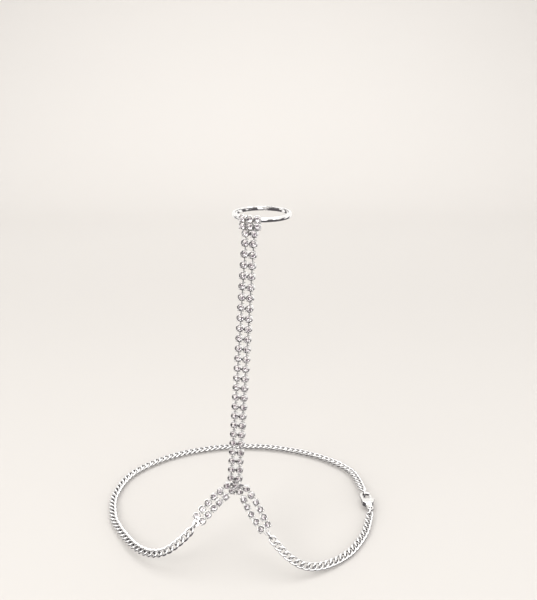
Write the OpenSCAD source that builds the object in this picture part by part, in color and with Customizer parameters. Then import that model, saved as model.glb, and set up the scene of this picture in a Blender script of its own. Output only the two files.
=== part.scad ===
// Hand chain bracelet: a finger ring with a soldered stone cluster, a two-row strand of stones in
// cups down the back of the hand, two short legs that part at a junction, and a curb chain that
// makes one loop round the wrist and closes with a lobster clasp.
// The origin is the middle of the finger ring, +Z runs up the finger and -Y is the front.

/* [Finger ring] */
// Inner diameter of the finger ring
ring_bore_d = 17.4; // [15:0.1:21]
// Thickness of the band
band_t = 1; // [0.8:0.1:1.5]
// Width of the band along the finger
band_w = 1.5; // [1.2:0.1:2.5]
// Radius of the band's domed outer face
band_dome_r = 1.2; // [1:0.1:2]
// How far the cluster sits round from the front, in degrees
cluster_turn = 21; // [0:1:40]
// Height of the cluster's top row over the middle of the band
cluster_top = 0.45; // [0:0.05:0.8]
// Distance between the cluster's rows
cluster_row_step = 2.3; // [2.2:0.05:2.6]
// Distance between neighbouring stones in a cluster row
cluster_stone_step = 2.45; // [2.4:0.05:2.8]
// Outer diameter of a cluster cup
cluster_cup_d = 2.5; // [2.4:0.05:2.7]

/* [Cups] */
// Outer diameter of a cup on the strand and the legs
cup_d = 2.6; // [2.5:0.05:2.7]
// Wall of a cup
cup_wall = 0.2; // [0.16:0.02:0.24]
// Floor of a cup
cup_floor = 0.25; // [0.2:0.05:0.4]
// Thickness of a prong
prong_d = 0.36; // [0.3:0.02:0.4]
// How far a prong stands over the cup's rim
prong_rise = 0.42; // [0.3:0.02:0.6]
// How far a prong's foot stands out from the cup's wall
prong_out = 0.12; // [0.1:0.01:0.14]
// Lean of a prong towards the stone, in degrees
prong_lean = 15; // [8:1:16]
// Width of the bar that links two cups
bar_w = 0.36; // [0.3:0.02:0.4]
// Thickness of that bar
bar_t = 0.3; // [0.24:0.02:0.36]
// Diameter of the flat head at the bar's end, which the next cup holds
bar_head_d = 0.84; // [0.8:0.02:0.9]
// Gap between loose pieces, all round a bar, its head and a stone
play = 0.12; // [0.1:0.01:0.14]

/* [Stones] */
// Depth of a stone below its girdle
stone_depth = 0.62; // [0.5:0.02:0.8]
// Height of a stone over its girdle
stone_crown = 0.36; // [0.3:0.02:0.45]
// Width of the table as a share of the stone's width
stone_table = 0.56; // [0.45:0.01:0.65]

/* [Strand] */
// Number of stone pairs from the ring to the junction
pair_count = 25; // [10:1:30]
// Distance from pair to pair down the taut strand
pair_step = 3.6; // [3.5:0.05:3.7]
// Distance from the cluster's last row to the first pair
first_step = 3.2; // [3.1:0.05:3.6]
// Distance between the two rows
row_step = 2.76; // [2.74:0.02:2.9]
// Lean of the strand to the left, in degrees
strand_lean = 4; // [0:0.5:8]
// How far the strand bows forward at its middle
strand_bow = 0.4; // [0:0.1:2]
// Turn of the strand's face to the left at its foot, in degrees
foot_turn = 3; // [0:1:20]
// Upward tilt of the face at the junction, in degrees
foot_tilt = 3; // [0:1:6]

/* [Legs] */
// Number of stones in each row of a leg, the junction's own included
leg_count = 6; // [4:1:8]
// Distance from stone to stone along the slack legs
leg_step = 3; // [2.95:0.05:3.2]
// Extra distance before a leg's first loose stone
leg_lead = 0.24; // [0:0.02:0.3]
// Upward tilt of the legs' face, in degrees
leg_tilt = 25; // [10:1:35]
// Outer diameter of the eyelet at a leg's end
eyelet_d = 2.3; // [2.2:0.1:2.8]
// Hole of that eyelet
eyelet_hole = 1.2; // [1.1:0.1:1.4]
// Thickness of that eyelet
eyelet_t = 0.4; // [0.3:0.05:0.5]

/* [Curb chain] */
// Length of a link outside
link_len = 4.2; // [4.1:0.05:4.3]
// Width of the chain
link_w = 3.1; // [2.9:0.05:3.3]
// Thickness of the link's wire
link_wire = 0.75; // [0.65:0.01:0.78]
// How far a link's wire twists out of its flat plane, each way
link_twist = 0.52; // [0.48:0.01:0.6]
// Wanted distance from link to link
link_step = 2.4; // [2.3:0.01:2.45]
// Sides of a link's outline
link_sides = 10; // [10:1:16]
// Sides of a link's wire
wire_sides = 5; // [5:1:6]

/* [Loop] */
// Half the width of the loop
loop_r = 52; // [48:0.5:58]
// Drop from the junction to the loop's lowest stretch
loop_drop = 27; // [22:0.5:32]

/* [Rings and clasp] */
// Outer diameter of a jump ring
jump_d = 3.6; // [3.5:0.1:4]
// Wire of a jump ring
jump_wire = 0.6; // [0.5:0.05:0.7]
// Outer diameter of the ring that the clasp hooks
end_ring_d = 4.2; // [4:0.1:5]
// Length of the clasp from its tail eye's middle to its nose
clasp_len = 10.6; // [10:0.1:12]
// Width of the clasp
clasp_w = 4.6; // [4.4:0.1:5]
// Thickness of the clasp at its lever
clasp_t = 2.2; // [2:0.1:2.6]
// Thickness of the clasp's hook
hook_t = 1.3; // [1.1:0.1:1.4]
// Diameter of the clasp's tail eye
tail_d = 2.5; // [2.4:0.1:3]
// Hole of the tail eye
tail_hole = 1.4; // [1.2:0.1:1.6]
// Thickness of the tail eye
tail_t = 1; // [0.8:0.1:1.2]
// Wall of the clasp's hook
hook_wall = 1.05; // [0.9:0.05:1.15]
// Thickness of the lever
lever_t = 0.9; // [0.7:0.1:1]
// How far the lever's thumb tab stands out beside the clasp
tab_reach = 0.8; // [0.5:0.1:1.2]
// Diameter of the lever's pin
pin_d = 0.7; // [0.6:0.05:0.8]
// Gap round the lever
lever_gap = 0.14; // [0.12:0.02:0.2]

/* [Hidden] */
$fn = 48;
silver = "silver";
crystal = "lavenderblush";

// Heights in a cup, measured from the middle of the bars
floor_top = -bar_t / 2 - play;
floor_low = floor_top - cup_floor;
culet_z = bar_t / 2 + play;
girdle_z = culet_z + stone_depth;
rim_z = girdle_z;
slot_w = bar_w + 2 * play;
slot_top = bar_t / 2 + play;
prong_len = 2 * prong_rise;
// A cup's outline starts clear of its prongs, its slot and the web beside it
cup_start = 30;

// Cups of a cluster row, left to right, as steps from the row's middle
cluster_rows = [[-1, 0, 1], [-1, 0, 1], [-0.56, 0.56]];
cluster_r = ring_bore_d / 2 + band_t - floor_low - cup_floor / 2;

// The junction's own cups in its plane: the last pair is straight over the middle cup
junction_pair = [-0.55, 3.2];
left_start = [-2.22, -1.33];
right_start = [2.6, -1.55];
// The loop that the routes below were drawn for: with another loop they keep their shape
drawn_loop_r = 52;
drawn_loop_drop = 27;
// Where each leg runs, from the junction's middle: two points on the way, its last stone and past it
left_route = [[-4.3, -0.5, -2.8], [-8.4, -2, -6.4], [-12.4, -4.5, -10.1], [-14.5, -6.1, -12.3]];
right_route = [[4.2, -0.9, -4.7], [6.3, -2.7, -8], [9.2, -5.7, -12], [10.8, -7.4, -13.7]];
// How far a leg's two rows part, stone by stone, as a share of the row step
left_part = [1.01, 1.02, 1.03, 1.03, 1.02, 1];
right_part = [1.01, 1.12, 1.3, 1.32, 1.12, 1];

// The loop's middle from the junction
loop_mid = [0.7, 30.5, 0];
// Route of each chain round the loop's middle: angle from +X, radius and drop as shares of the
// loop's, and the tilt of the flat face from upright towards the outside
left_loop = [
    [-115, 0.815, 0.555, 64], [-118.5, 0.875, 0.665, 67], [-122.5, 0.92, 0.765, 69],
    [-127.5, 0.945, 0.845, 69], [-133.5, 0.96, 0.895, 66], [-141, 0.965, 0.935, 58],
    [-150, 0.97, 0.965, 47], [-158, 0.985, 0.985, 35], [-167, 1.005, 0.995, 24],
    [-182, 1.02, 1, 9], [-200, 0.99, 1, 5], [-222, 0.88, 1, 5], [-246, 0.79, 1, 5],
    [-270, 0.76, 1, 5], [-294, 0.79, 1, 5], [-318, 0.88, 1, 5], [-338, 0.97, 0.99, 3]];
right_loop = [
    [-72.7, 0.81, 0.595, 64], [-69.8, 0.865, 0.69, 67], [-66.7, 0.912, 0.78, 69],
    [-62.7, 0.95, 0.873, 67], [-58, 0.973, 0.935, 57], [-52.5, 0.99, 0.97, 45],
    [-45, 1.005, 0.995, 31], [-37, 1.015, 1, 19], [-26, 1.015, 1, 8],
    [-17.5, 1.01, 0.985, 3]];
// Where the clasp's tail eye lies round the loop, and the way that the clasp points
clasp_spot = [-10, 1.012, 0.955];
clasp_heading = 96;

// Vector helpers
function unit(v) = v / norm(v);
function flat_to(v, n) = unit(v - (v * n) * n);
// A place as [origin, x, y, z]: y points along the way and z is the face, squared up to it
function place_at(p, n, way) = let (y = unit(way), z = flat_to(n, y)) [p, cross(y, z), y, z];
function from_place(f, v) = f[0] + f[1] * v.x + f[2] * v.y + f[3] * v.z;
module put(f) {
    multmatrix([for (i = [0:2]) [f[1][i], f[2][i], f[3][i], f[0][i]]]) children();
}

// A smooth curve through chosen points, each with any number of columns
curve_cuts = 12;
function bend(a, b, c, d, t) =
    (2 * b + (c - a) * t + (2 * a - 5 * b + 4 * c - d) * t * t
        + (3 * b - a - 3 * c + d) * t * t * t) / 2;
function curve(p) = let (n = len(p) - 1) concat(
    [for (i = [0:n - 1], k = [0:curve_cuts - 1])
        bend(p[max(i - 1, 0)], p[i], p[i + 1], p[min(i + 2, n)], k / curve_cuts)], [p[n]]);
function spot_of(v) = [v[0], v[1], v[2]];
function gap_after(c, i) = i + 1 < len(c) ? norm(spot_of(c[i + 1]) - spot_of(c[i])) : 0;
function lengths(c) = [for (i = 0, s = 0; i < len(c); s = s + gap_after(c, i), i = i + 1) s];
// The same curve as one look-up table of distance for each column
function measured(c) = let (l = lengths(c))
    [for (k = [0:len(c[0]) - 1]) [for (i = [0:len(c) - 1]) [l[i], c[i][k]]]];
function run_of(m) = m[0][len(m[0]) - 1][0];
function at(m, s) = [for (column = m) lookup(s, column)];
function heading(m, s) = unit(spot_of(at(m, s + 0.4)) - spot_of(at(m, s - 0.4)));

// Ring cluster
cluster_step_turn = cluster_stone_step / cluster_r * 180 / PI;
function ring_face(turn) = [-sin(turn), -cos(turn), 0];
function cluster_place(row, step) = let (n = ring_face(cluster_turn - step * cluster_step_turn))
    place_at(n * cluster_r + [0, 0, cluster_top - row * cluster_row_step], n, [0, 0, 1]);
cluster_places = [for (row = [0:len(cluster_rows) - 1], step = cluster_rows[row])
    cluster_place(row, step)];
cluster_end = [for (step = cluster_rows[2]) cluster_place(2, step)];

// Strand
last_pair = pair_count - 1;
strand_top = (cluster_end[0][0] + cluster_end[1][0]) / 2;
strand_run = first_step + last_pair * pair_step;
function strand_spot(d) = let (s = d / strand_run)
    strand_top + [-d * sin(strand_lean), -4 * strand_bow * s * (1 - s), -d * cos(strand_lean)];
function pair_spot(i) = strand_spot(first_step + i * pair_step);
function pair_face(i) = let (s = i / last_pair, turn = cluster_turn + (foot_turn - cluster_turn) * s,
    tilt = foot_tilt * pow(s, 4))
    [-sin(turn) * cos(tilt), -cos(turn) * cos(tilt), sin(tilt)];
function pair_place(i) =
    place_at(pair_spot(i), pair_face(i), pair_spot(i - 0.5) - pair_spot(i + 0.5));
function row_spot(i, side) = from_place(pair_place(i), [side * row_step / 2, 0, 0]);

// Junction: its middle cup lies under the last pair, and each leg starts beside it
last_place = pair_place(last_pair);
junction = [from_place(last_place, [-junction_pair.x, -junction_pair.y, 0]),
    last_place[1], last_place[2], last_place[3]];
function in_loop(p) = [p.x * loop_r / drawn_loop_r, p.y * loop_r / drawn_loop_r,
    p.z * loop_drop / drawn_loop_drop];
loop_centre = junction[0] + in_loop(loop_mid);

// Legs: side -1 is the left leg and 1 the right one, row -1 is a leg's upper row
function leg_start(side) = let (s = side < 0 ? left_start : right_start)
    from_place(junction, [s.x, s.y, 0]);
function leg_curve(side) = measured(curve(concat([leg_start(side)],
    [for (p = side < 0 ? left_route : right_route) junction[0] + in_loop(p)])));
left_curve = leg_curve(-1);
right_curve = leg_curve(1);
function curve_of(side) = side < 0 ? left_curve : right_curve;
function part_of(side, i) = let (p = side < 0 ? left_part : right_part)
    row_step * p[min(i, len(p) - 1)];
function loop_face(p, tilt) = let (d = p - loop_centre, a = atan2(d.y, d.x))
    [cos(a) * sin(tilt), sin(a) * sin(tilt), cos(tilt)];
function leg_run(i) = i == 0 ? 0 : leg_lead + i * leg_step;
function leg_face(side, i) = i == 0 ? junction[3]
    : loop_face(spot_of(at(curve_of(side), leg_run(i))),
        90 - foot_tilt - (leg_tilt - foot_tilt) * min(1, i / 3));
// A leg's place at stone i, with y back towards the junction
function leg_place(side, i) = let (m = curve_of(side), s = leg_run(i))
    place_at(spot_of(at(m, s)), leg_face(side, i), -heading(m, max(s, 0.4)));
function leg_spot(side, row, i) = let (f = leg_place(side, i))
    from_place(f, [side * row * part_of(side, i) / 2, 0, 0]);
// A leg's cup, turned so that its slot faces the cup before it
function leg_cup(side, row, i) = let (p = leg_spot(side, row, i))
    place_at(p, leg_face(side, i), i == 0 ? junction[2] : leg_spot(side, row, i - 1) - p);
last_stone = leg_count - 1;
eyelet_reach = cup_d / 2 + eyelet_hole / 2;
function eyelet_place(side) = let (f = leg_place(side, last_stone))
    [from_place(f, [0, -eyelet_reach, 0]), f[1], f[2], f[3]];

// Curb chain
link_a = (link_len - link_wire) / 2;
link_b = (link_w - link_wire) / 2;
jump_r = (jump_d - jump_wire) / 2;
// From a ring's far wire to the middle of the link that it holds
link_seat = link_a - link_wire / 2 - jump_wire / 2 - 2.5 * play;
jump_reach = 2 * jump_r + link_seat;
clasp_dir = [cos(clasp_heading), sin(clasp_heading), 0];
function loop_spot(v) = loop_centre
    + [loop_r * v[1] * cos(v[0]), loop_r * v[1] * sin(v[0]), -loop_drop * v[2]];
clasp_place = [loop_spot(clasp_spot), clasp_dir, cross([0, 0, 1], clasp_dir), [0, 0, 1]];
function loop_rows(rows) = [for (v = rows) concat(loop_spot(v), [v[3]])];
end_ring_r = (end_ring_d - jump_wire) / 2;
// The ring that the clasp hooks hangs in its nose, clear of the hook's edges and the lever's swing
end_ring_side = 0.15;
end_ring_in = end_ring_r - jump_wire / 2;
hook_gap = end_ring_in - sqrt(pow(end_ring_in - play, 2) - pow(hook_t / 2, 2));
end_ring_x = clasp_len - hook_wall - hook_gap + end_ring_in;
end_ring_mid = from_place(clasp_place, [end_ring_x, end_ring_side, 0]);
chain_end = from_place(clasp_place, [end_ring_x + end_ring_r, end_ring_side, 0]);
function leg_end(side) = [for (d = [0, eyelet_reach, eyelet_reach + jump_r])
    concat(from_place(leg_place(side, last_stone), [0, -d, 0]), [90 - leg_tilt])];
left_path = measured(curve(concat(leg_end(-1), loop_rows(left_loop), [concat(chain_end, [0])])));
right_path = measured(curve(concat(leg_end(1), loop_rows(right_loop),
    [concat(clasp_place[0], [0])])));
chain_start = eyelet_reach + jump_reach;
left_room = run_of(left_path) - chain_start - link_seat;
right_room = run_of(right_path) - chain_start - jump_reach;
function link_gaps(room) = round(room / link_step);
function link_place(m, s) = let (v = at(m, s), p = spot_of(v))
    place_at(p, loop_face(p, v[3]), heading(m, s));
function chain_places(m, room) = let (n = link_gaps(room))
    [for (i = [0:n]) link_place(m, chain_start + i * room / n)];

// One link of the chain: an oval whose wire twists out of its plane
wire_r = link_wire / 2;
function link_mid(t) = [link_b * sin(t), link_a * cos(t), link_twist * sin(2 * t)];
function link_way(t) = unit([link_b * cos(t), -link_a * sin(t), 2 * link_twist * cos(2 * t)]);
function wire_point(t, u) = let (w = link_way(t), e = unit(cross(w, [0, 0, 1])))
    link_mid(t) + wire_r * (cos(u) * e + sin(u) * cross(w, e));
link_points = [for (i = [0:link_sides - 1], j = [0:wire_sides - 1])
    wire_point(360 * i / link_sides, 360 * j / wire_sides)];
function link_corner(i, j) = (i % link_sides) * wire_sides + j % wire_sides;
link_faces = [for (i = [0:link_sides - 1], j = [0:wire_sides - 1], half = [0, 1])
    half == 0 ? [link_corner(i, j), link_corner(i + 1, j + 1), link_corner(i, j + 1)]
        : [link_corner(i, j), link_corner(i + 1, j), link_corner(i + 1, j + 1)]];

// One cut stone: an eight-sided table, crown, girdle and point
stone_sides = 8;
function stone_ring(r, z) = [for (k = [0:stone_sides - 1])
    [r * cos(360 * (k + 0.5) / stone_sides), r * sin(360 * (k + 0.5) / stone_sides), z]];
function stone_points(r) = concat(stone_ring(r, girdle_z),
    stone_ring(r * stone_table, girdle_z + stone_crown), [[0, 0, culet_z]]);
stone_faces = concat([[for (k = [stone_sides - 1:-1:0]) stone_sides + k]],
    [for (k = [0:stone_sides - 1]) let (m = (k + 1) % stone_sides)
        [k, stone_sides + k, stone_sides + m, m]],
    [for (k = [0:stone_sides - 1]) [k, (k + 1) % stone_sides, 2 * stone_sides]]);
function stone_r(d) = d / 2 - cup_wall - play;

// Many loose copies of one shape, each at its place
module copies(points, faces, places) {
    n = len(points);
    polyhedron(points = [for (f = places, p = points) from_place(f, p)],
        faces = [for (i = [0:len(places) - 1], face = faces) [for (k = face) k + i * n]]);
}
module stones(places, d) color(crystal) copies(stone_points(stone_r(d)), stone_faces, places);

module ring(outer_d, wire_d) {
    rotate_extrude() translate([(outer_d - wire_d) / 2, 0]) circle(d = wire_d);
}

module prong(d) {
    translate([d / 2 + prong_out, 0, rim_z - prong_rise]) rotate([0, -prong_lean, 0])
        cylinder(d = prong_d, h = prong_len, $fn = 8);
}

module cup(d, slotted) {
    difference() {
        rotate([0, 0, cup_start]) difference() {
            translate([0, 0, floor_low]) cylinder(d = d, h = rim_z - floor_low);
            translate([0, 0, floor_top]) cylinder(d = d - 2 * cup_wall, h = 2 * rim_z);
        }
        if (slotted)
            translate([-slot_w / 2, 0, floor_top]) cube([slot_w, d, slot_top - floor_top]);
    }
    for (a = [45:90:315]) rotate([0, 0, a]) prong(d);
}

// The bar from the wall of a cup at p to its head inside the next cup, whose face is n. All bars
// are of one length: the head rests at that cup's wall where the strand is taut.
bar_start = (cup_d - cup_wall) / 2;
bar_reach = pair_step - (cup_d / 2 - cup_wall - play - bar_head_d / 2);
module bar(p, next_spot, n) {
    put(place_at(p, n, next_spot - p)) {
        translate([-bar_w / 2, bar_start, -bar_t / 2])
            cube([bar_w, bar_reach - bar_start, bar_t]);
        translate([0, bar_reach, -bar_t / 2]) cylinder(d = bar_head_d, h = bar_t);
    }
}

// Solder between two cups of one row or cluster, at the height of their floors
module solder(a, b) {
    f = place_at(a[0], a[3] + b[3], b[0] - a[0]);
    put(f) translate([-cup_d / 4, 0, floor_low + cup_floor / 6])
        cube([cup_d / 2, norm(b[0] - a[0]), cup_floor * 2 / 3]);
}

module pair(i) {
    f = pair_place(i);
    for (side = [-1, 1]) {
        p = row_spot(i, side);
        put([p, f[1], f[2], f[3]]) cup(cup_d, true);
    }
    put(f) translate([-(row_step - cup_d + cup_wall) / 2, -cup_d / 6, floor_low])
        cube([row_step - cup_d + cup_wall, cup_d / 3, rim_z - floor_low - cup_wall]);
}

module finger_ring() {
    color(silver) {
        rotate_extrude($fn = 96) intersection() {
            translate([ring_bore_d / 2, -band_w / 2]) square([band_t, band_w]);
            translate([ring_bore_d / 2 + band_t - band_dome_r, 0]) circle(r = band_dome_r);
        }
        for (f = cluster_places) put(f) cup(cluster_cup_d, false);
        for (k = [0, 1]) {
            solder(cluster_end[k], cluster_place(1, cluster_rows[1][k]));
            solder(cluster_end[k], cluster_place(1, cluster_rows[1][k + 1]));
            bar(cluster_end[k][0], row_spot(0, 2 * k - 1), pair_face(0));
        }
    }
}

module ring_stones() stones(cluster_places, cluster_cup_d);

module strand_settings() {
    color(silver) for (i = [0:last_pair - 1]) {
        pair(i);
        for (side = [-1, 1])
            bar(row_spot(i, side), row_spot(i + 1, side), pair_face(i + 1));
    }
}

module strand_stones() {
    stones([for (i = [0:last_pair - 1], side = [-1, 1]) let (f = pair_place(i))
        [row_spot(i, side), f[1], f[2], f[3]]], cup_d);
}

module junction_setting() {
    color(silver) {
        pair(last_pair);
        put(junction) cup(cup_d, false);
        for (side = [-1, 1]) solder([row_spot(last_pair, side), 0, 0, junction[3]], junction);
        for (side = [-1, 1], row = [-1, 1]) {
            f = leg_cup(side, row, 0);
            put(f) cup(cup_d, false);
            solder(f, junction);
            bar(f[0], leg_spot(side, row, 1), leg_face(side, 1));
        }
    }
}

module junction_stones() {
    stones(concat([for (side = [-1, 1])
            [row_spot(last_pair, side), last_place[1], last_place[2], last_place[3]]],
        [junction], [for (side = [-1, 1], row = [-1, 1]) leg_cup(side, row, 0)]), cup_d);
}

module leg_settings(side) {
    color(silver) {
        for (row = [-1, 1], i = [1:last_stone]) {
            f = leg_cup(side, row, i);
            put(f) cup(cup_d, true);
            if (i < last_stone)
                bar(f[0], leg_spot(side, row, i + 1), leg_face(side, i + 1));
        }
        end = leg_place(side, last_stone);
        put(end) translate([-(row_step - cup_d + cup_wall) / 2, -cup_d / 6, floor_low])
            cube([row_step - cup_d + cup_wall, cup_d / 3, rim_z - floor_low - cup_wall]);
        put(eyelet_place(side)) translate([0, 0, -eyelet_t / 2]) difference() {
            cylinder(d = eyelet_d, h = eyelet_t);
            translate([0, 0, -eyelet_t]) cylinder(d = eyelet_hole, h = 3 * eyelet_t);
        }
    }
}

module leg_stones(side) {
    stones([for (row = [-1, 1], i = [1:last_stone]) leg_cup(side, row, i)], cup_d);
}

module jump_ring(path, s) {
    f = link_place(path, s);
    color(silver) put([f[0], f[2], f[3], f[1]]) ring(jump_d, jump_wire);
}

module chain(path, room) {
    color(silver) copies(link_points, link_faces, chain_places(path, room));
}

// Clasp, drawn flat: x runs from the tail eye to the nose, and the lever is on the -y side
nose_r = clasp_w / 2;
nose_x = clasp_len - nose_r;
mouth_r = nose_r - hook_wall;
mouth_x = clasp_len - hook_wall - mouth_r;
pin_x = 4.3;
pin_y = -clasp_w * 0.2;
hub_r = pin_d / 2 + 0.5;
web_x = pin_x + hub_r + 2 * lever_gap;
hook_tip_x = mouth_x + mouth_r * 0.62;
slot_low = pin_x - hub_r - 2 * lever_gap;
neck_x = tail_d;
tail_end_x = neck_x + 0.3;
cheek_proud = 0.08;

module hook_outline() {
    polygon([[neck_x, nose_r * 0.55], [neck_x, -nose_r * 0.55], [pin_x - hub_r, -nose_r],
        [nose_x, -nose_r], [nose_x, nose_r], [pin_x - hub_r, nose_r]]);
    translate([nose_x, 0]) circle(r = nose_r);
}

// The cheeks stand a little proud of the hook all round
module cheek_outline() {
    x0 = neck_x - cheek_proud;
    x1 = pin_x - hub_r;
    x2 = web_x - cheek_proud;
    w = nose_r + cheek_proud;
    polygon([[x0, -w * 0.58], [x1, -w], [x2, -w], [x2, w], [x1, w], [x0, w * 0.58]]);
}

module clasp_body() {
    color(silver) put(clasp_place) {
        linear_extrude(tail_t, center = true) difference() {
            union() {
                circle(d = tail_d);
                polygon([[0, tail_d * 0.36], [0, -tail_d * 0.36], [tail_end_x, -nose_r * 0.6],
                    [tail_end_x, nose_r * 0.6]]);
            }
            circle(d = tail_hole);
        }
        difference() {
            union() {
                linear_extrude(hook_t, center = true) difference() {
                    hook_outline();
                    translate([mouth_x, 0]) circle(r = mouth_r);
                    translate([web_x, -mouth_r]) square([mouth_x - web_x, 2 * mouth_r]);
                    translate([web_x, -clasp_w])
                        square([hook_tip_x - web_x, clasp_w - mouth_r * 0.5]);
                }
                linear_extrude(clasp_t, center = true) cheek_outline();
            }
            translate([slot_low, -clasp_w, -lever_t / 2 - lever_gap])
                cube([web_x - slot_low + hub_r, clasp_w + pin_y + hub_r + lever_gap,
                    lever_t + 2 * lever_gap]);
        }
        translate([pin_x, pin_y, -clasp_t / 2 + cheek_proud])
            cylinder(d = pin_d, h = clasp_t - 2 * cheek_proud);
    }
}

// The lever is one outline from its hub: a thumb tab on the outside, and an arm to the hook's tip
module clasp_lever() {
    arm_low = -nose_r + 0.05 - pin_y;
    arm_high = arm_low + hook_wall * 0.75;
    arm_r = hook_tip_x - lever_gap - pin_x;
    tab_y = -nose_r - tab_reach - pin_y;
    function arm_x(y) = sqrt(pow(arm_r, 2) - pow(y, 2));
    color(silver) put(clasp_place) translate([pin_x, pin_y, -lever_t / 2])
        linear_extrude(lever_t) difference() {
            union() {
                circle(r = hub_r);
                polygon([[-hub_r * 0.3, -hub_r * 0.75], [hub_r, tab_y + 0.15],
                    [hub_r + 0.6, tab_y], [hub_r + 0.95, tab_y + 0.25], [hub_r + 0.8, arm_low],
                    [arm_x(arm_low), arm_low], [arm_x(arm_high), arm_high], [hub_r * 0.8, 0]]);
            }
            circle(d = pin_d + 2 * lever_gap);
        }
}

module end_ring() {
    f = clasp_place;
    color(silver) put([end_ring_mid, f[1], f[3], -f[2]]) ring(end_ring_d, jump_wire);
}

finger_ring();
ring_stones();
strand_settings();
strand_stones();
junction_setting();
junction_stones();
leg_settings(-1);  // left_leg_settings
leg_stones(-1);  // left_leg_stones
leg_settings(1);  // right_leg_settings
leg_stones(1);  // right_leg_stones
jump_ring(left_path, eyelet_reach + jump_r);  // left_jump_ring
jump_ring(right_path, eyelet_reach + jump_r);  // right_jump_ring
chain(left_path, left_room);  // left_chain
chain(right_path, right_room);  // right_chain
jump_ring(right_path, run_of(right_path) - jump_r);  // clasp_ring
end_ring();
clasp_body();
clasp_lever();
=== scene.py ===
# Hand chain bracelet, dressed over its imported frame: rhinestones with a foiled back, plated cups,
# a domed finger band, filed curb links, jump rings and a lobster clasp. Shapes are made in
# millimetres and turned into metres when a piece is finished.
from math import atan2, cos, hypot, pi, radians, sin

import bmesh
import bpy
import numpy as np
from mathutils import Matrix, Vector


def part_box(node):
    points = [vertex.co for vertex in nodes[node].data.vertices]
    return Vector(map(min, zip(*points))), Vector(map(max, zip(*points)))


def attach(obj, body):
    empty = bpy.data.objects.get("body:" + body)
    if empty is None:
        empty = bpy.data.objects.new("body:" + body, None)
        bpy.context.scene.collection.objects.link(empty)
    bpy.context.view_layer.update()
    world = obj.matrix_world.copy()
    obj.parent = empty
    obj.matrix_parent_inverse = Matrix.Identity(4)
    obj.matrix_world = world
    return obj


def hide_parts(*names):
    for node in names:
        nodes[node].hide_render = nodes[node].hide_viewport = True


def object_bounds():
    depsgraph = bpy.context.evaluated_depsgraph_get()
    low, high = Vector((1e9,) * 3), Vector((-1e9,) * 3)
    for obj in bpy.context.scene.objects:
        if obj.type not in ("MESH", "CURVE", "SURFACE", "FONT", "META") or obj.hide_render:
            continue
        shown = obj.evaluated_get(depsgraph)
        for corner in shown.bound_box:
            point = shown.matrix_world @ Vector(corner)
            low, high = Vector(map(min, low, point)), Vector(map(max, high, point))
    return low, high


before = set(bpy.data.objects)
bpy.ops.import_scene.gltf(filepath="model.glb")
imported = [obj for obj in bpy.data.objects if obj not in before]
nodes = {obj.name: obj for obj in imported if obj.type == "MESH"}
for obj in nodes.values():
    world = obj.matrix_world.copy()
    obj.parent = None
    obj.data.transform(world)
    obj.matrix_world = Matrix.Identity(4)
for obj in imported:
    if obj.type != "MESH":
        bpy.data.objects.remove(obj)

cad_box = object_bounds()
MM = 0.001

# Heights in a cup, from the middle of the bars that link the cups, as in the part's source
FLOOR_LOW, FLOOR_TOP, SLOT_TOP = -0.52, -0.27, 0.27
CULET, GIRDLE, RIM = 0.27, 0.89, 0.89
CUP_WALL = 0.2
STONE_CROWN, STONE_TABLE, STONE_FILL = 0.36, 0.56, 1.06
BAR_W, BAR_T, BAR_FROM, BAR_TO, BAR_HEAD_D = 0.36, 0.3, 1.2, 3.04, 0.84
STRAND_CUP_D, CLUSTER_CUP_D, CLAWS = 2.6, 2.5, 4
WEB = (0.36, 2.6 / 3, RIM - CUP_WALL - FLOOR_LOW)
SOLDER_W, SOLDER_T = 1.3, 0.24
EYELET_R, EYELET_HOLE_R, EYELET_HALF_T, EYELET_EDGE, EYELET_REACH = 1.15, 0.6, 0.2, 0.06, 1.9

# Places along a claw: how far it stands out from the cup's wall, its height and its thickness
CLAW_PATH = [(-0.02, 0.12, 0.12), (0.08, 0.42, 0.16), (0.11, 0.8, 0.18), (0.05, 0.98, 0.19),
             (-0.1, 1.12, 0.19), (-0.23, 1.17, 0.18), (-0.33, 1.17, 0.12)]

# Finger band, chain links and wire rings
BAND_IN, BAND_DOME_R, BAND_DOME_MID, BAND_HALF_W = 8.7, 1.2, 8.5, 0.75
LINK_A, LINK_B, LINK_TWIST, LINK_WIRE_R, LINK_HALF_T = 1.725, 1.175, 0.52, 0.375, 0.78
JUMP_R, END_RING_R, RING_WIRE_R, RING_CUT = 1.5, 1.8, 0.3, 0.05
CAST_GRAIN = 0.09

# How many sides a turned shape has round its axis
CUP_SIDES, LINK_SIDES, BAND_SIDES = 24, 24, 128


# ---------------------------------------------------------------- finding the CAD's places

def loose_parts(node):
    """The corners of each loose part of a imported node, in millimetres and in the node's order."""
    bm = bmesh.new()
    bm.from_mesh(nodes[node].data)
    bmesh.ops.remove_doubles(bm, verts=bm.verts, dist=1e-7)
    seen, parts = set(), []
    for first in bm.verts:
        if first in seen:
            continue
        seen.add(first)
        part, queue = [], [first]
        while queue:
            v = queue.pop()
            part.append(v.co / MM)
            for e in v.link_edges:
                w = e.other_vert(v)
                if w not in seen:
                    seen.add(w)
                    queue.append(w)
        parts.append(part)
    bm.free()
    return parts


def middle(points):
    return sum(points, Vector()) / len(points)


def squared(at, face, way):
    """A place as a matrix: Y runs along the way and Z is the face, squared up to it."""
    y = way.normalized()
    z = (face - face.dot(y) * y).normalized()
    m = Matrix((y.cross(z), y, z)).transposed().to_4x4()
    m.translation = at
    return m


def axis(place, k):
    return place.col[k].to_3d().normalized()


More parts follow.
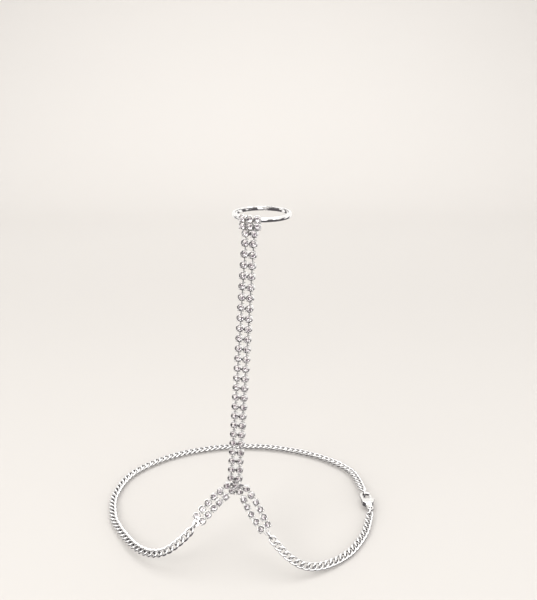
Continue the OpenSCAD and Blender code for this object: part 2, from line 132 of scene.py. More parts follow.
class Seat:
    """The middle of a cup and the way that it faces, read from the stone in it."""

    def __init__(self, corners):
        mid = middle(corners)
        near = sorted(corners, key=lambda c: (c - mid).length)
        table, point, girdle = near[:8], near[8], near[9:]
        self.face = (middle(table) - point).normalized()
        self.at = point - CULET * self.face
        out = girdle[0] - middle(girdle)
        self.stone_r = out.length
        self.corner = out.normalized()
        self.place = None

    def turned(self, hint):
        """Settles the cup's Y as the one of its eight ways that lies nearest to the hint."""
        ways = [Matrix.Rotation(radians(22.5 + 45 * k), 3, self.face) @ self.corner
                for k in range(8)]
        self.place = squared(self.at, self.face, max(ways, key=lambda w: w.dot(hint)))
        return self


def seats(node):
    return [Seat(c) for c in loose_parts(node)]


def rows_on_from(two, loose):
    """Sorts loose seats into the two rows that run on from the given two, and turns each one
    towards the cup before it."""
    start = (two[0].at + two[1].at) / 2
    rows = [[two[0]], [two[1]]]
    loose = sorted(loose, key=lambda s: (s.at - start).length)
    for a, b in zip(loose[::2], loose[1::2]):
        p, q = rows[0][-1].at, rows[1][-1].at
        if (a.at - p).length + (b.at - q).length > (b.at - p).length + (a.at - q).length:
            a, b = b, a
        rows[0].append(a.turned(p - a.at))
        rows[1].append(b.turned(q - b.at))
    return rows


def spread(corners):
    """The middle of a loose part and its axes, from the shortest to the longest."""
    points = np.array(corners)
    mid = points.mean(0)
    axes = np.linalg.eigh(np.cov((points - mid).T))[1].T
    return Vector(mid), [Vector(a) for a in axes]


def link_place(corners):
    mid, (thin, wide, long) = spread(corners)
    return squared(mid, thin, long)


# ---------------------------------------------------------------- shapes, in millimetres

def shape(bm):
    """Keeps a finished shape as a mesh that can be stamped at many places."""
    bmesh.ops.recalc_face_normals(bm, faces=bm.faces)
    mesh = bpy.data.meshes.new("shape")
    bm.to_mesh(mesh)
    bm.free()
    return mesh


def paint_shade(bm, depth):
    """Marks painted shade at each corner, from 0, none, to 1, the darkest shade."""
    layer = bm.verts.layers.float.new("painted_shade")
    for v in bm.verts:
        v[layer] = max(0, min(1, depth(v.co)))


def stamp(bm, mesh, place):
    """Adds one copy of a shape to a piece, at its place."""
    before = len(bm.verts)
    bm.from_mesh(mesh)
    bm.verts.ensure_lookup_table()
    bmesh.ops.transform(bm, matrix=place, verts=bm.verts[before:])


def turned_profile(bm, points, steps, closed=False):
    """Spins an outline of (radius, height) points round Z. An open outline ends on the axis."""
    verts = [bm.verts.new((r, 0, z)) for r, z in points]
    edges = [bm.edges.new(pair) for pair in zip(verts, verts[1:])]
    if closed:
        edges.append(bm.edges.new((verts[-1], verts[0])))
    bmesh.ops.spin(bm, geom=verts + edges, cent=(0, 0, 0), axis=(0, 0, 1), dvec=(0, 0, 0),
                   angle=2 * pi, steps=steps, use_merge=True, use_duplicate=False)
    bmesh.ops.remove_doubles(bm, verts=bm.verts, dist=1e-5)


def block(bm, size, mid, edge):
    """A block with softened edges."""
    made = bmesh.ops.create_cube(bm, size=1)["verts"]
    bmesh.ops.scale(bm, vec=size, verts=made)
    bmesh.ops.translate(bm, vec=mid, verts=made)
    edges = list({e for v in made for e in v.link_edges})
    bmesh.ops.bevel(bm, geom=edges, offset=edge, offset_type="OFFSET", segments=2,
                    profile=0.5, affect="EDGES", material=-1, clamp_overlap=True)


def cut_stone(r):
    """A round rhinestone: table, star and kite facets, girdle, and a pointed foiled back."""
    bm = bmesh.new()
    rings = ((8, r * STONE_TABLE, GIRDLE + STONE_CROWN, 22.5), (8, r * 0.8, GIRDLE + 0.185, 0),
             (16, r, GIRDLE + 0.03, 0), (16, r, GIRDLE - 0.03, 0),
             (8, r * 0.52, GIRDLE - 0.36, 22.5))
    for count, radius, z, turn in rings:
        bmesh.ops.create_circle(bm, segments=count, radius=radius, matrix=Matrix.Translation(
            (0, 0, z)) @ Matrix.Rotation(radians(turn), 4, "Z"))
    bmesh.ops.create_vert(bm, co=(0, 0, CULET))
    bmesh.ops.convex_hull(bm, input=bm.verts)
    bmesh.ops.dissolve_limit(bm, angle_limit=radians(1), verts=bm.verts, edges=bm.edges)
    bmesh.ops.recalc_face_normals(bm, faces=bm.faces)
    # A few lower back facets on the -X side are marked for painted shade: a painted dark
    # reflection, seen through the table as a dark spot left of the middle
    shade = bm.faces.layers.float.new("painted_shade")
    for f in bm.faces:
        mid = f.calc_center_median()
        f.material_index = 1 if f.normal.z < -0.05 else 0
        f[shade] = 1 if mid.z < GIRDLE - 0.36 and mid.x < 0 and abs(mid.y) < 0.3 * r else 0
    return shape(bm)


def claw(bm, d, turn):
    """A claw that grows out of the cup's wall and bends over the stone."""
    rings = []
    for k, (out, z, thick) in enumerate(CLAW_PATH):
        a, b = CLAW_PATH[max(k - 1, 0)], CLAW_PATH[min(k + 1, len(CLAW_PATH) - 1)]
        lean = atan2(b[0] - a[0], b[1] - a[1])
        m = Matrix.Translation((d / 2 + out, 0, z)) @ Matrix.Rotation(lean, 4, "Y")
        ring = bmesh.ops.create_circle(bm, segments=6, radius=thick, matrix=m)["verts"]
        rings.append(ring)
    edges = [[e for e in {e for v in ring for e in v.link_edges} if
              e.verts[0] in ring and e.verts[1] in ring] for ring in rings]
    for low, high in zip(edges, edges[1:]):
        bmesh.ops.bridge_loops(bm, edges=low + high)
    for ring in (edges[0], edges[-1]):
        bmesh.ops.edgenet_fill(bm, edges=ring)
    bmesh.ops.rotate(bm, cent=(0, 0, 0), matrix=Matrix.Rotation(radians(turn), 3, "Z"),
                     verts=[v for ring in rings for v in ring])


def cup(d, slotted):
    """A stone's cup: floor, wall with a rolled rim, four claws, and a slot for the bar's head."""
    bm = bmesh.new()
    r, inner = d / 2, d / 2 - CUP_WALL
    turned_profile(bm, [
        (0, FLOOR_LOW), (r - 0.14, FLOOR_LOW), (r - 0.04, FLOOR_LOW + 0.04),
        (r, FLOOR_LOW + 0.14), (r, FLOOR_TOP), (r, SLOT_TOP), (r, RIM - 0.08),
        (r - 0.03, RIM - 0.02), (r - 0.08, RIM), (inner + 0.06, RIM), (inner, RIM - 0.06),
        (inner, SLOT_TOP), (inner, FLOOR_TOP), (0, FLOOR_TOP)], CUP_SIDES)
    if slotted:
        hole = [f for f in bm.faces if abs(f.calc_center_median().z) < 0.01
                and f.calc_center_median().y > inner * 0.9]
        rim = [e for e in {e for f in hole for e in f.edges}
               if sum(f in hole for f in e.link_faces) == 1]
        bmesh.ops.delete(bm, geom=hole, context="FACES")
        bmesh.ops.bridge_loops(bm, edges=[e for e in rim if e.is_valid])
    for k in range(CLAWS):
        claw(bm, d, 45 + 360 / CLAWS * k)
    # Painted shade: a little inside the wall round the stone, and on the outside growing darker
    # towards the bottom of the cup
    paint_shade(bm, lambda co: 0.2 if hypot(co.x, co.y) < inner + 0.05 and co.z < RIM - 0.05
            else (0.1 - co.z) / 2)
    return shape(bm)


def bar():
    """The flat bar that links two cups, with the head that the next cup holds."""
    bm = bmesh.new()
    block(bm, (BAR_W, BAR_TO - BAR_FROM, BAR_T), (0, (BAR_TO + BAR_FROM) / 2, 0), 0.06)
    head = bmesh.ops.create_cone(bm, cap_ends=True, segments=16, radius1=BAR_HEAD_D / 2,
                                 radius2=BAR_HEAD_D / 2, depth=BAR_T)["verts"]
    bmesh.ops.translate(bm, vec=(0, BAR_TO, 0), verts=head)
    edges = [e for e in {e for v in head for e in v.link_edges}
             if abs(e.verts[0].co.z - e.verts[1].co.z) < 1e-6]
    bmesh.ops.bevel(bm, geom=edges, offset=0.05, offset_type="OFFSET", segments=2,
                    profile=0.5, affect="EDGES", material=-1)
    # Painted shade over the whole bar, which lies in the shadow between the cups
    paint_shade(bm, lambda co: 0.7)
    return shape(bm)


def web():
    """The upright web between the two cups of a pair."""
    bm = bmesh.new()
    block(bm, WEB, (0, 0, FLOOR_LOW + WEB[2] / 2), 0.06)
    # A light painted shade over the whole web
    paint_shade(bm, lambda co: 0.1)
    return shape(bm)


def solder(length):
    """Solder that has run between two cups at the height of their floors."""
    bm = bmesh.new()
    block(bm, (SOLDER_W, length, SOLDER_T), (0, length / 2, FLOOR_LOW + 0.13), 0.1)
    # Dark painted shade over the whole solder, down between the cups
    paint_shade(bm, lambda co: 0.8)
    return shape(bm)


def eyelet():
    """The flat ring soldered under a leg's end pair."""
    bm = bmesh.new()
    hole, out, t, edge = EYELET_HOLE_R, EYELET_R, EYELET_HALF_T, EYELET_EDGE
    turned_profile(bm, [(hole + edge, -t), (out - edge, -t), (out, edge - t), (out, t - edge),
                        (out - edge, t), (hole + edge, t), (hole, t - edge), (hole, edge - t)],
                   CUP_SIDES, closed=True)
    # Painted shade: dark round the hole, light elsewhere
    paint_shade(bm, lambda co: 0.8 if hypot(co.x, co.y) < hole + edge / 2 else 0.1)
    return shape(bm)


def curb_link():
    """One oval link: its wire twists out of its plane, and both sides are filed flat."""
    bm = bmesh.new()
    ring_r = 2
    made = bmesh.ops.create_circle(
        bm, segments=8, radius=LINK_WIRE_R, matrix=Matrix.Translation((ring_r, 0, 0))
        @ Matrix.Rotation(pi / 2, 4, "X") @ Matrix.Rotation(pi / 8, 4, "Z"))["verts"]
    edges = list({e for v in made for e in v.link_edges})
    bmesh.ops.spin(bm, geom=made + edges, cent=(0, 0, 0), axis=(0, 0, 1), dvec=(0, 0, 0),
                   angle=2 * pi, steps=LINK_SIDES, use_merge=True, use_duplicate=False)
    bmesh.ops.remove_doubles(bm, verts=bm.verts, dist=1e-5)
    # Painted shade: darker on the inside of the wire, facing the link's hole, and lighter towards
    # its top and bottom
    paint_shade(bm, lambda co: 0.5 + (1.4 * (ring_r - hypot(co.x, co.y)) - abs(co.z)) / LINK_WIRE_R)
    for v in bm.verts:
        t = atan2(v.co.x, v.co.y)
        out, up = hypot(v.co.x, v.co.y) - ring_r, v.co.z
        way = Vector((LINK_B * cos(t), -LINK_A * sin(t), 2 * LINK_TWIST * cos(2 * t))).normalized()
        side = way.cross(Vector((0, 0, 1))).normalized()
        v.co = (Vector((LINK_B * sin(t), LINK_A * cos(t), LINK_TWIST * sin(2 * t)))
                - out * side + up * side.cross(way))
        v.co.z = max(-LINK_HALF_T, min(LINK_HALF_T, v.co.z))
    return shape(bm)


def wire_ring(radius, sides=12, steps=44):
    """A round wire ring with the fine cut where it was bent shut, on its +X side."""
    bm = bmesh.new()
    made = bmesh.ops.create_circle(bm, cap_ends=True, segments=sides, radius=RING_WIRE_R,
                                   matrix=Matrix.Translation((radius, 0, 0))
                                   @ Matrix.Rotation(pi / 2, 4, "X"))["verts"]
    edges = list({e for v in made for e in v.link_edges})
    faces = list(bm.faces)
    gap = RING_CUT / radius
    bmesh.ops.rotate(bm, cent=(0, 0, 0), matrix=Matrix.Rotation(gap / 2, 3, "Z"), verts=made)
    bmesh.ops.spin(bm, geom=made + edges + faces, cent=(0, 0, 0), axis=(0, 0, 1), dvec=(0, 0, 0),
                   angle=2 * pi - gap, steps=steps, use_merge=False, use_duplicate=False)
    # Painted shade, darker on the inside of the wire, towards the ring's middle
    paint_shade(bm, lambda co: 0.2 + 0.8 * (radius - hypot(co.x, co.y)) / RING_WIRE_R)
    return shape(bm)


# ---------------------------------------------------------------- finishes

def new_material(name):
    mat = bpy.data.materials.new(name)
    mat.use_nodes = True
    tree = mat.node_tree
    shader = tree.nodes["Principled BSDF"]
    coords = tree.nodes.new("ShaderNodeTexCoord")
    return mat, tree, shader, coords.outputs["Object"]


def worn_and_shaded_plating():
    """Shared wear and painted shade of the plated metal: soft patches, fine rubbed lines, a little
    tarnish in random patches, and painted shade wherever a piece marks it, mostly in recesses and
    between parts.
    """
    g = bpy.data.node_groups.new("worn_and_shaded_plating", "ShaderNodeTree")
    for name, kind in (("Vector", "NodeSocketVector"), ("Low Roughness", "NodeSocketFloat"),
                       ("High Roughness", "NodeSocketFloat"), ("Bright", "NodeSocketColor"),
                       ("Dull", "NodeSocketColor"), ("Tarnish And Shade", "NodeSocketColor"),
                       ("Patch Scale", "NodeSocketFloat"), ("Line Scale", "NodeSocketFloat"),
                       ("Painted Shade", "NodeSocketFloat")):
        g.interface.new_socket(name, in_out="INPUT", socket_type=kind)
    for name, kind in (("Color", "NodeSocketColor"), ("Roughness", "NodeSocketFloat"),
                       ("Height", "NodeSocketFloat")):
        g.interface.new_socket(name, in_out="OUTPUT", socket_type=kind)
    new, link = g.nodes.new, g.links.new
    inp, out = new("NodeGroupInput"), new("NodeGroupOutput")
    patches = new("ShaderNodeTexNoise")
    patches.inputs["Detail"].default_value = 4
    link(inp.outputs["Vector"], patches.inputs["Vector"])
    link(inp.outputs["Patch Scale"], patches.inputs["Scale"])
    lines = new("ShaderNodeTexNoise")
    lines.inputs["Detail"].default_value = 6
    lines.inputs["Distortion"].default_value = 1.5
    link(inp.outputs["Vector"], lines.inputs["Vector"])
    link(inp.outputs["Line Scale"], lines.inputs["Scale"])
    mask = new("ShaderNodeMapRange")
    for socket, value in (("From Min", 0.35), ("From Max", 0.7)):
        mask.inputs[socket].default_value = value
    link(patches.outputs["Fac"], mask.inputs["Value"])
    rough = new("ShaderNodeMix")
    link(mask.outputs["Result"], rough.inputs["Factor"])
    link(inp.outputs["Low Roughness"], rough.inputs["A"])
    link(inp.outputs["High Roughness"], rough.inputs["B"])
    tone = new("ShaderNodeMix")
    tone.data_type = "RGBA"
    link(mask.outputs["Result"], tone.inputs["Factor"])
    link(inp.outputs["Bright"], tone.inputs["A"])
    link(inp.outputs["Dull"], tone.inputs["B"])
    # Painted shade: the marked shade, plus a little from the random patches, pulls the colour
    # towards the dark tarnish-and-shade colour and raises the roughness
    tarnish_and_shade_amount = new("ShaderNodeMath")
    tarnish_and_shade_amount.operation = "MULTIPLY_ADD"
    tarnish_and_shade_amount.inputs[1].default_value = 0.7
    link(patches.outputs["Fac"], tarnish_and_shade_amount.inputs[0])
    link(inp.outputs["Painted Shade"], tarnish_and_shade_amount.inputs[2])
    tarnish_and_shade_mask = new("ShaderNodeMapRange")
    for socket, value in (("From Min", 0.5), ("From Max", 1.35)):
        tarnish_and_shade_mask.inputs[socket].default_value = value
    link(tarnish_and_shade_amount.outputs["Value"], tarnish_and_shade_mask.inputs["Value"])
    tarnished_and_shaded = new("ShaderNodeMix")
    tarnished_and_shaded.data_type = "RGBA"
    link(tarnish_and_shade_mask.outputs["Result"], tarnished_and_shaded.inputs["Factor"])
    link(tone.outputs["Result"], tarnished_and_shaded.inputs["A"])
    link(inp.outputs["Tarnish And Shade"], tarnished_and_shaded.inputs["B"])
    matt = new("ShaderNodeMix")
    matt.inputs["B"].default_value = 0.42
    link(tarnish_and_shade_mask.outputs["Result"], matt.inputs["Factor"])
    link(rough.outputs["Result"], matt.inputs["A"])
    link(tarnished_and_shaded.outputs["Result"], out.inputs["Color"])
    link(matt.outputs["Result"], out.inputs["Roughness"])
    link(lines.outputs["Fac"], out.inputs["Height"])
    return g


def plating(name, low, high, bright, dull, tarnish_and_shade=(0.2, 0.19, 0.2), patch=900, line=5200,
            bump=0.00002):
    mat, tree, shader, coords = new_material(name)
    wear_and_shade = tree.nodes.new("ShaderNodeGroup")
    wear_and_shade.node_tree = wear_and_shade_group
    tree.links.new(coords, wear_and_shade.inputs["Vector"])
    for socket, value in (("Low Roughness", low), ("High Roughness", high), ("Patch Scale", patch),
                          ("Line Scale", line), ("Bright", (*bright, 1)), ("Dull", (*dull, 1)),
                          ("Tarnish And Shade", (*tarnish_and_shade, 1))):
        wear_and_shade.inputs[socket].default_value = value
    # Reads the painted shade marked on the piece's corners or facets; it darkens the metal towards
    # the tarnish-and-shade colour
    shade_attribute = tree.nodes.new("ShaderNodeAttribute")
    shade_attribute.attribute_name = "painted_shade"
    tree.links.new(shade_attribute.outputs["Fac"], wear_and_shade.inputs["Painted Shade"])
    shader.inputs["Metallic"].default_value = 1
    tree.links.new(wear_and_shade.outputs["Color"], shader.inputs["Base Color"])
    tree.links.new(wear_and_shade.outputs["Roughness"], shader.inputs["Roughness"])
    relief = tree.nodes.new("ShaderNodeBump")
    relief.inputs["Strength"].default_value = 0.25
    relief.inputs["Distance"].default_value = bump
    tree.links.new(wear_and_shade.outputs["Height"], relief.inputs["Height"])
    tree.links.new(relief.outputs["Normal"], shader.inputs["Normal"])
    return mat


def rhinestone_glass():
    mat, tree, shader, coords = new_material("rhinestone_glass")
    haze = tree.nodes.new("ShaderNodeTexNoise")
    haze.inputs["Scale"].default_value = 700
    tree.links.new(coords, haze.inputs["Vector"])
    tint = tree.nodes.new("ShaderNodeMix")
    tint.data_type = "RGBA"
    tint.inputs["A"].default_value = (1, 1, 1, 1)
    tint.inputs["B"].default_value = (0.985, 0.965, 0.97, 1)
    tree.links.new(haze.outputs["Fac"], tint.inputs["Factor"])
    tree.links.new(tint.outputs["Result"], shader.inputs["Base Color"])
    shader.inputs["Roughness"].default_value = 0.01
    shader.inputs["IOR"].default_value = 1.56
    shader.inputs["Transmission Weight"].default_value = 1
    return mat


wear_and_shade_group = worn_and_shaded_plating()
SILVER_CUPS = plating("bright_cup_plating", 0.1, 0.22, (0.93, 0.92, 0.91), (0.82, 0.8, 0.79))
SILVER_BAND = plating("polished_band_plating", 0.06, 0.14, (0.94, 0.93, 0.92),
                      (0.86, 0.85, 0.84), patch=500, line=3500)
SILVER_LINKS = plating("curb_link_plating", 0.12, 0.24, (0.95, 0.94, 0.93), (0.84, 0.83, 0.82))
SILVER_CLASP = plating("cast_clasp_plating", 0.12, 0.26, (0.94, 0.93, 0.91), (0.8, 0.79, 0.77),
                       patch=700)
STONE_GLASS = rhinestone_glass()
# The foil's dark colour gives the painted dark reflection in the marked facets, and a little
# tarnish in random patches
STONE_FOIL = plating("rhinestone_foil", 0.03, 0.1, (0.99, 0.98, 0.98), (0.93, 0.9, 0.92),
                     tarnish_and_shade=(0.26, 0.21, 0.25), patch=1500, line=4000, bump=0.000006)


# ---------------------------------------------------------------- pieces

def finish(name, bm, materials, node, body="bracelet", sharp=32):
    """Makes a piece of the shapes in a bmesh and sets it on its body in place of its node."""
    bmesh.ops.scale(bm, vec=(MM, MM, MM), verts=bm.verts)
    if sharp:
        for e in bm.edges:
            e.smooth = e.calc_face_angle(0) < radians(sharp)
        for f in bm.faces:
            f.smooth = True
    mesh = bpy.data.meshes.new(name)
    bm.to_mesh(mesh)
    bm.free()
    for m in materials:
        mesh.materials.append(m)
    obj = bpy.data.objects.new(name, mesh)
    bpy.context.scene.collection.objects.link(obj)
    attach(obj, body)
    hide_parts(node)
    return obj


def rhinestones(name, node, found):
    """A node's stones, given as left and right by turns, each set with a turn of its own."""
    bm = bmesh.new()
    cut = cut_stone(found[0].stone_r * STONE_FILL)
    for k, s in enumerate(found):
        turn = 45 * (k * k % 5 - 1) + (180 if k % 2 == 0 else 0)
        stamp(bm, cut, s.place @ Matrix.Rotation(radians(turn), 4, "Z"))
    finish(name, bm, [STONE_GLASS, STONE_FOIL], node, sharp=0)


def add_bar(bm, a, b):
    stamp(bm, BAR, squared(a.at, b.face, b.at - a.at))


def add_solder(bm, a, b):
    stamp(bm, solder((b.at - a.at).length), squared(a.at, a.face + b.face, b.at - a.at))


def add_web(bm, a, b):
    stamp(bm, WEB_SHAPE, pair_place(a, b))


def pair_place(a, b):
    """The middle of a pair of cups, with X along the pair and Y back up the piece."""
    x = (b.at - a.at).normalized()
    way = (a.face + b.face).cross(x)
    if way.dot(axis(a.place, 1)) < 0:
        way = -way
    return squared((a.at + b.at) / 2, a.face + b.face, way)


ring_seats = [s.turned(Vector((0, 0, 1))) for s in seats("ring_stones")]
foot = sorted(ring_seats, key=lambda s: s.at.z)[:2]
foot.sort(key=lambda s: s.at.x)
strand = rows_on_from(foot, seats("strand_stones"))
junction = seats("junction_stones")
junction.sort(key=lambda s: (s.at - (strand[0][-1].at + strand[1][-1].at) / 2).length)
last_pair = rows_on_from([strand[0][-1], strand[1][-1]], junction[:2])
for row, more in zip(strand, last_pair):
    row.append(more[1])
up = axis(strand[0][-1].place, 1)
core = sorted(junction[2:], key=lambda s: s.at.x)
for s in core:
    s.turned(up)
hub = core[2]
legs = {"left": rows_on_from(core[:2], seats("left_leg_stones")),
        "right": rows_on_from(core[3:], seats("right_leg_stones"))}

PLAIN_CUP, SLOTTED_CUP = cup(STRAND_CUP_D, False), cup(STRAND_CUP_D, True)
CLUSTER_CUP = cup(CLUSTER_CUP_D, False)
BAR, WEB_SHAPE, EYELET, CURB_LINK = bar(), web(), eyelet(), curb_link()


def finger_ring():
    bm = bmesh.new()
    rim_r = BAND_DOME_MID + (BAND_DOME_R ** 2 - BAND_HALF_W ** 2) ** 0.5
    dome = [(BAND_DOME_MID + BAND_DOME_R * cos(radians(a)), BAND_DOME_R * sin(radians(a)))
            for a in range(-35, 36, 10)]
    w = BAND_HALF_W
    turned_profile(bm, [(BAND_IN, -w + 0.12), (BAND_IN + 0.03, -w + 0.03), (BAND_IN + 0.12, -w),
                        (rim_r - 0.1, -w), (rim_r - 0.02, -w + 0.02)] + dome
                   + [(rim_r - 0.02, w - 0.02), (rim_r - 0.1, w), (BAND_IN + 0.12, w),
                      (BAND_IN + 0.03, w - 0.03), (BAND_IN, w - 0.12)],
                   BAND_SIDES, closed=True)
    bmesh.ops.recalc_face_normals(bm, faces=bm.faces)
    for f in bm.faces:
        f.material_index = 1
    for s in ring_seats:
        stamp(bm, CLUSTER_CUP, s.place)
    for row, foot_cup in zip(strand, foot):
        above = [s for s in ring_seats if s.at.z > foot_cup.at.z + 1]
        for s in sorted(above, key=lambda s: (s.at - foot_cup.at).length)[:2]:
            add_solder(bm, foot_cup, s)
        add_bar(bm, row[0], row[1])
    finish("finger_ring_silver", bm, [SILVER_CUPS, SILVER_BAND], "finger_ring")


def strand_cups():
    bm = bmesh.new()
    for k in range(1, len(strand[0]) - 1):
        pair = strand[0][k], strand[1][k]
        add_web(bm, *pair)
        for row in strand:
            stamp(bm, SLOTTED_CUP, row[k].place)
            add_bar(bm, row[k], row[k + 1])
    finish("strand_cups", bm, [SILVER_CUPS], "strand_settings")


def junction_cups():
    bm = bmesh.new()
    pair = strand[0][-1], strand[1][-1]
    add_web(bm, *pair)
    for s in pair:
        stamp(bm, SLOTTED_CUP, s.place)
        add_solder(bm, s, hub)
    stamp(bm, PLAIN_CUP, hub.place)
    for leg in legs.values():
        for row in leg:
            stamp(bm, PLAIN_CUP, row[0].place)
            add_solder(bm, row[0], hub)
            add_bar(bm, row[0], row[1])
    finish("junction_cups", bm, [SILVER_CUPS], "junction_setting")


def leg_cups(side):
    bm = bmesh.new()
    rows = legs[side]
    for row in rows:
        for k in range(1, len(row)):
            stamp(bm, SLOTTED_CUP, row[k].place)
            if k + 1 < len(row):
                add_bar(bm, row[k], row[k + 1])
    end = pair_place(rows[0][-1], rows[1][-1])
    stamp(bm, WEB_SHAPE, end)
    stamp(bm, EYELET, end @ Matrix.Translation((0, -EYELET_REACH, 0)))
    finish(f"{side}_leg_cups", bm, [SILVER_CUPS], f"{side}_leg_settings")


def curb_chain(side):
    bm = bmesh.new()
    for corners in loose_parts(f"{side}_chain"):
        stamp(bm, CURB_LINK, link_place(corners))
    finish(f"{side}_curb_chain", bm, [SILVER_LINKS], f"{side}_chain", sharp=50)


def round_ring(name, node, radius, beside):
    """A wire ring at its node's place, with its cut to the side of what it holds."""
    mid, (thin, _, _) = spread(loose_parts(node)[0])
    pull = middle(beside) - mid
    bm = bmesh.new()
    stamp(bm, wire_ring(radius), squared(mid, thin, pull - pull.dot(thin) * thin))
    finish(name, bm, [SILVER_LINKS], node)


def cast(name, node, body, rounds):
    """A cast piece: a copy of its node, merged, remeshed finely and rubbed smooth."""
    bm = bmesh.new()
    bm.from_mesh(nodes[node].data)
    bmesh.ops.remove_doubles(bm, verts=bm.verts, dist=1e-7)
    bmesh.ops.scale(bm, vec=(1 / MM,) * 3, verts=bm.verts)
    blank = bpy.data.objects.new("blank", shape(bm))
    bpy.context.scene.collection.objects.link(blank)
    remesh = blank.modifiers.new("remesh", "REMESH")
    remesh.mode = "VOXEL"
    remesh.voxel_size = CAST_GRAIN
    bm = bmesh.new()
    bm.from_object(blank, bpy.context.evaluated_depsgraph_get())
    bpy.data.objects.remove(blank)
    for _ in range(rounds):
        bmesh.ops.smooth_vert(bm, verts=bm.verts, factor=0.5, use_axis_x=True, use_axis_y=True,
                              use_axis_z=True)
    finish(name, bm, [SILVER_CLASP], node, body=body, sharp=60)


finger_ring()
strand_cups()
junction_cups()
rhinestones("ring_rhinestones", "ring_stones", ring_seats)
rhinestones("strand_rhinestones", "strand_stones",
            [s for pair in zip(*strand) for s in pair][2:-2])
rhinestones("junction_rhinestones", "junction_stones", junction)
for side in ("left", "right"):
    leg_cups(side)
    rhinestones(f"{side}_leg_rhinestones", f"{side}_leg_stones",
                [s for pair in zip(*legs[side]) for s in pair][2:])
    curb_chain(side)
    leg_end = [row[-1].at for row in legs[side]]
    round_ring(f"{side}_jump_wire", f"{side}_jump_ring", JUMP_R, leg_end)
lever_lo, lever_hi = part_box("clasp_lever")
lever_mid = (lever_lo + lever_hi) / 2 / MM
round_ring("clasp_tail_ring", "clasp_ring", JUMP_R, [lever_mid])
round_ring("chain_end_ring", "end_ring", END_RING_R, [lever_mid])
cast("clasp_body_cast", "clasp_body", "bracelet", 14)
cast("clasp_lever_cast", "clasp_lever", "clasp_lever", 8)


# ---------------------------------------------------------------- floor, light and camera

def backdrop():
    """One pale sheet: a floor that curves up into a wall behind."""
    bm = bmesh.new()
    low, far, curve, top, half = cad_box[0].z - 0.0006, 0.55, 0.35, 1.2, 0.8
    a, b = (bm.verts.new((x, -0.5, low)) for x in (-half, half))
    edge = [bm.edges.new((a, b))]

    def on(edge, way):
        made = bmesh.ops.extrude_edge_only(bm, edges=edge)["geom"]
        verts = [g for g in made if isinstance(g, bmesh.types.BMVert)]
        bmesh.ops.translate(bm, vec=way, verts=verts)
        return [g for g in made if isinstance(g, bmesh.types.BMEdge)
                and all(v in verts for v in g.verts)]

    edge = on(edge, (0, 0.5 + far, 0))
    geom = edge + list({v for e in edge for v in e.verts})
    last = bmesh.ops.spin(bm, geom=geom, cent=(0, far, low + curve), axis=(1, 0, 0),
                          dvec=(0, 0, 0), angle=pi / 2, steps=24, use_duplicate=False)["geom_last"]
    on([g for g in last if isinstance(g, bmesh.types.BMEdge)], (0, 0, top))
    bmesh.ops.recalc_face_normals(bm, faces=bm.faces)
    for f in bm.faces:
        f.smooth = True
    mesh = bpy.data.meshes.new("paper_backdrop")
    bm.to_mesh(mesh)
    bm.free()
    mat, tree, shader, coords = new_material("pale_paper")
    shader.inputs["Base Color"].default_value = (0.592, 0.571, 0.548, 1)
    shader.inputs["Roughness"].default_value = 0.9
    shader.inputs["Specular IOR Level"].default_value = 0.1
    mesh.materials.append(mat)
    obj = bpy.data.objects.new("paper_backdrop", mesh)
    obj.visible_glossy = False
    bpy.context.scene.collection.objects.link(obj)


def softbox(name, at, aim, size, power, colour=(1, 1, 1), spread=180):
    light = bpy.data.lights.new(name, "AREA")
    light.shape = "RECTANGLE"
    light.size, light.size_y = size
    light.energy = power
    light.color = colour
    light.spread = radians(spread)
    obj = bpy.data.objects.new(name, light)
    obj.location = at
    obj.visible_camera = False
    obj.rotation_euler = (Vector(aim) - Vector(at)).to_track_quat("-Z", "Y").to_euler()
    bpy.context.scene.collection.objects.link(obj)


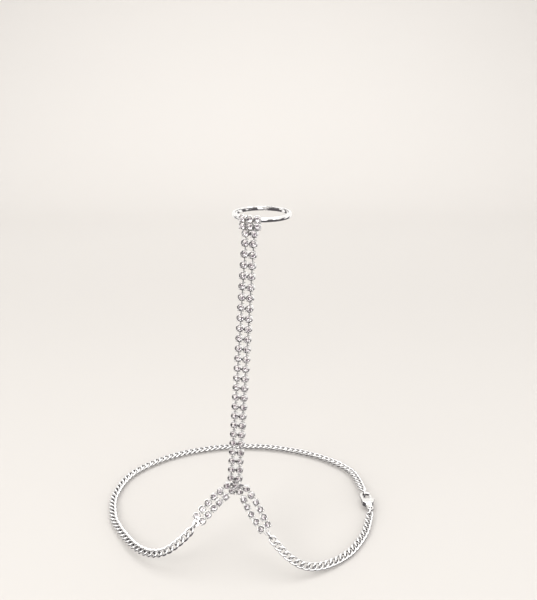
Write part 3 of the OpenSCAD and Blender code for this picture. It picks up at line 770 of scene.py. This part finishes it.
def light_tent():
    """A bright tent above and behind a darker room. Facets and wires pick up the edge between."""
    world = bpy.data.worlds.new("light_tent")
    world.use_nodes = True
    tree = world.node_tree
    new, link = tree.nodes.new, tree.links.new
    tent = tree.nodes["Background"]
    coords, split, folds = (new("ShaderNodeTexCoord"), new("ShaderNodeSeparateXYZ"),
                            new("ShaderNodeTexNoise"))
    height, depth, raised, patchy = (new("ShaderNodeMath") for _ in range(4))
    ramp = new("ShaderNodeValToRGB")
    folds.inputs["Scale"].default_value = 2.6
    folds.inputs["Detail"].default_value = 1
    for maths, operation, value in ((height, "MULTIPLY", 0.4), (depth, "ADD", 1),
                                    (raised, "MULTIPLY_ADD", 0.16),
                                    (patchy, "MULTIPLY_ADD", 0.9)):
        maths.operation, maths.inputs[1].default_value = operation, value
    link(coords.outputs["Generated"], split.inputs["Vector"])
    link(coords.outputs["Generated"], folds.inputs["Vector"])
    link(split.outputs["Z"], height.inputs[0])
    link(split.outputs["Y"], depth.inputs[0])
    link(depth.outputs["Value"], raised.inputs[0])
    link(height.outputs["Value"], raised.inputs[2])
    link(folds.outputs["Fac"], patchy.inputs[0])
    link(raised.outputs["Value"], patchy.inputs[2])
    link(patchy.outputs["Value"], ramp.inputs["Fac"])
    dark, light = ramp.color_ramp.elements
    dark.position, dark.color = 0.53, (0.1, 0.093, 0.1, 1)
    light.position, light.color = 0.58, (1, 0.985, 0.965, 1)
    link(ramp.outputs["Color"], tent.inputs["Color"])
    tent.inputs["Strength"].default_value = 1.1
    plain, seen, mix = (new("ShaderNodeBackground"), new("ShaderNodeLightPath"),
                        new("ShaderNodeMixShader"))
    plain.inputs["Color"].default_value = (0.887, 0.847, 0.799, 1)
    link(seen.outputs["Is Camera Ray"], mix.inputs["Fac"])
    link(tent.outputs["Background"], mix.inputs[1])
    link(plain.outputs["Background"], mix.inputs[2])
    link(mix.outputs["Shader"], tree.nodes["World Output"].inputs["Surface"])
    return world


def studio():
    bpy.context.scene.world = light_tent()
    aim = (0, 0.02, -0.06)
    softbox("key_softbox", (-0.45, -0.5, 0.5), aim, (0.45, 0.45), 2.6, (1, 0.985, 0.96))
    softbox("fill_softbox", (0.6, -0.45, 0.2), aim, (0.35, 0.6), 1, (0.97, 0.98, 1))
    softbox("front_softbox", (0, -0.55, -0.04), aim, (0.4, 0.36), 0.6)
    softbox("top_softbox", (0.05, 0.15, 0.8), aim, (0.9, 0.7), 3.4)
    softbox("wall_softbox", (0, 0.15, 0.6), (0, 0.9, 0.15), (1.2, 0.3), 1.35, spread=100)
    camera = bpy.data.cameras.new("photo_camera")
    camera.sensor_width = 36
    camera.lens = 40.636
    camera.clip_start = 0.01
    obj = bpy.data.objects.new("photo_camera", camera)
    obj.location = (0.002107, -0.216523, 0.046533)
    obj.rotation_euler = (radians(90 - 19.387), 0, 0)
    bpy.context.scene.collection.objects.link(obj)
    bpy.context.scene.camera = obj
    bpy.context.scene.view_settings.view_transform = "Standard"


backdrop()
studio()
